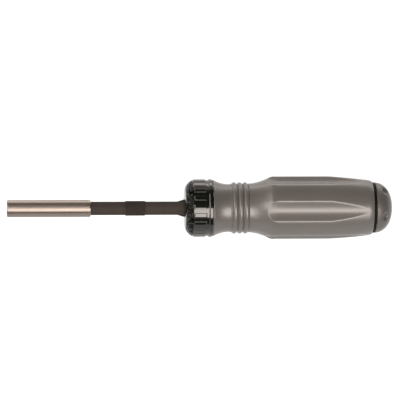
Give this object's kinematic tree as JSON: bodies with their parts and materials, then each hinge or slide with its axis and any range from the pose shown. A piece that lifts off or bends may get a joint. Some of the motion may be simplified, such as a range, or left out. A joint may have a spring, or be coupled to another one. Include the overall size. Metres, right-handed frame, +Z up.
{
  "type": "ratcheting screwdriver",
  "caption": "Ratcheting screwdriver with a magnetic hex bit holder, a ribbed selector ring, a fluted grip with neck rings and a dimpled end cap over a storage bore.",
  "frame": {"origin": "centre of the mouth of the bit socket, on the axis of the shank", "axes": "+X along the axis from the bit socket to the end cap, +Z up with one flute of the grip facing straight down, +Y to the left of someone who looks along +X"},
  "size_m": [0.2299, 0.0376, 0.0367],
  "materials": {
    "stainless_sleeve": "satin",
    "spring_steel": "satin",
    "magnet_nickel": "gloss",
    "black_oxide_steel": "satin",
    "hardened_steel": "satin",
    "sintered_bronze": "matte",
    "die_casting": "matte",
    "ground_steel": "polished",
    "ring_plastic": "gloss",
    "core_plastic": "satin",
    "grip_plastic": "satin",
    "seal_rubber": "gloss"
  },
  "bodies": {
    "handle": {"ratchet_housing": "die_casting", "front_bush": "sintered_bronze", "bush_circlip": "spring_steel", "rear_bush": "sintered_bronze", "pawl_pin": "ground_steel", "ring_clip": "spring_steel", "detent_spring": "spring_steel", "handle_core": "core_plastic", "grip_sleeve": "grip_plastic", "housing_screw": "black_oxide_steel", "screw_washer": "ground_steel"},
    "shaft": {"bit_holder": "stainless_sleeve", "bit_clip": "spring_steel", "bit_magnet": "magnet_nickel", "shank": "black_oxide_steel", "ratchet_gear": "hardened_steel", "thrust_washer": "sintered_bronze"},
    "selector": {"selector_ring": "ring_plastic", "pawl_spring": "spring_steel"},
    "rocker": {"rocker_pawl": "hardened_steel"},
    "plunger": {"pawl_plunger": "ground_steel"},
    "ball": {"detent_ball": "ground_steel"},
    "cap": {"end_cap": "grip_plastic", "cap_plug": "core_plastic", "plug_ring": "seal_rubber", "seal_ring": "seal_rubber"}
  },
  "joints": [
    {"name": "shaft_spin", "type": "hinge", "parent": "handle", "child": "shaft", "pos_m": [0.11, 0, 0], "axis": [1, 0, 0], "continuous": true},
    {"name": "selector_turn", "type": "hinge", "parent": "handle", "child": "selector", "pos_m": [0.115, 0, 0], "axis": [1, 0, 0], "range_deg": [-24, 24]},
    {"name": "rocker_tilt", "type": "hinge", "parent": "handle", "child": "rocker", "pos_m": [0.1154, 0, 0.0095], "axis": [1, 0, 0], "range_deg": [-12.1, 12.1]},
    {"name": "plunger_travel", "type": "slide", "parent": "selector", "child": "plunger", "axis": [0, 0, 1], "range_m": [0, 0.0009], "stiffness_N_per_m": 300, "deforming": ["pawl_spring"]},
    {"name": "ball_travel", "type": "slide", "parent": "handle", "child": "ball", "axis": [0, 0, -1], "range_m": [0, 0.00035], "stiffness_N_per_m": 300, "deforming": ["detent_spring"]},
    {"name": "cap_pull", "type": "slide", "parent": "handle", "child": "cap", "axis": [1, 0, 0], "range_m": [0, 0.03]}
  ],
  "couplings": [
    {"joint": "rocker_tilt", "follows": "selector_turn", "ratio": 0.5}
  ]
}
